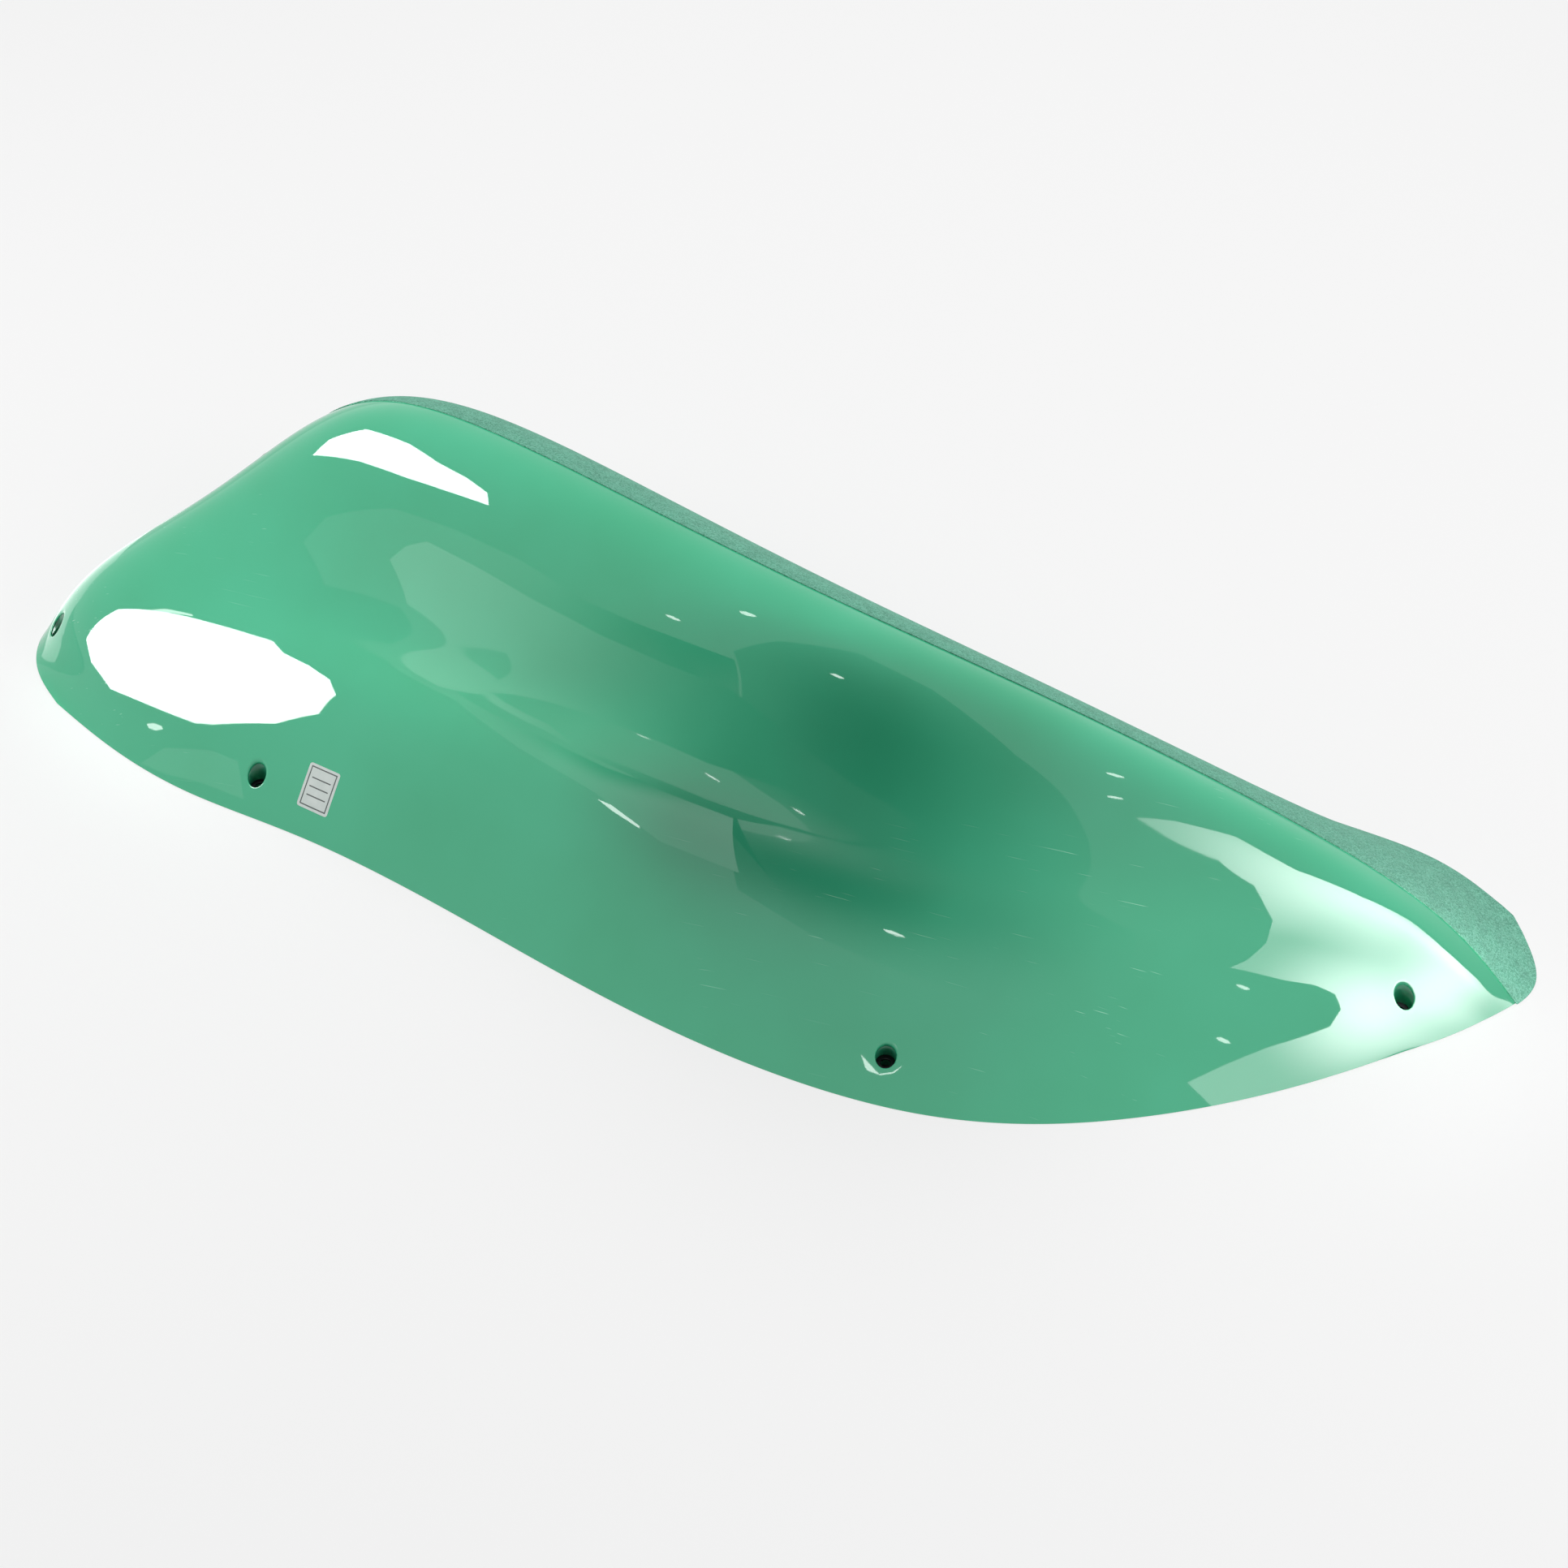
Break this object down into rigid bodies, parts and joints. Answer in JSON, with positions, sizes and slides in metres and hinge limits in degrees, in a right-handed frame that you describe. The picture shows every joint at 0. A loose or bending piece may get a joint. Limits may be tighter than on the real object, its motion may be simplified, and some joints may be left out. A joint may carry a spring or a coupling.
{
  "type": "climbing wall macro",
  "caption": "Hollow glass-fibre climbing-wall volume with a scooped glossy face, a gritty back slope, moulded screw wells and an open back with inner ribs.",
  "frame": {"origin": "middle of the body's outline on the wall plane", "axes": "+Z out of the wall, +X along the body to its pointed end, +Y across it to the gritty side"},
  "size_m": [1.1328, 0.4679, 0.1714],
  "materials": {
    "gelcoat": "sea-green polyester gelcoat, high gloss",
    "grit": "same green with fine sand grain, matte",
    "laminate": "raw chopped-strand glass and resin, rough",
    "well": "green gelcoat-lined moulding, glossy inside",
    "washer": "zinc-plated steel",
    "plywood": "bare birch plywood",
    "tape": "woven glass tape set in resin",
    "label": "blank printed film, satin"
  },
  "bodies": {
    "root": {"gelcoat": "gelcoat", "grit_coat": "grit", "laminate": "laminate", "label": "label", "screw_well_1": "well", "screw_well_2": "well", "screw_well_3": "well", "screw_well_4": "well", "screw_well_5": "well", "screw_well_6": "well", "screw_well_7": "well", "screw_well_8": "well", "washer_1": "washer", "washer_2": "washer", "washer_3": "washer", "washer_4": "washer", "washer_5": "washer", "washer_6": "washer", "washer_7": "washer", "washer_8": "washer", "plywood_rib_1": "plywood", "plywood_rib_2": "plywood", "plywood_rib_3": "plywood", "rib_tape_1": "tape", "rib_tape_2": "tape", "rib_tape_3": "tape"}
  },
  "joints": []
}
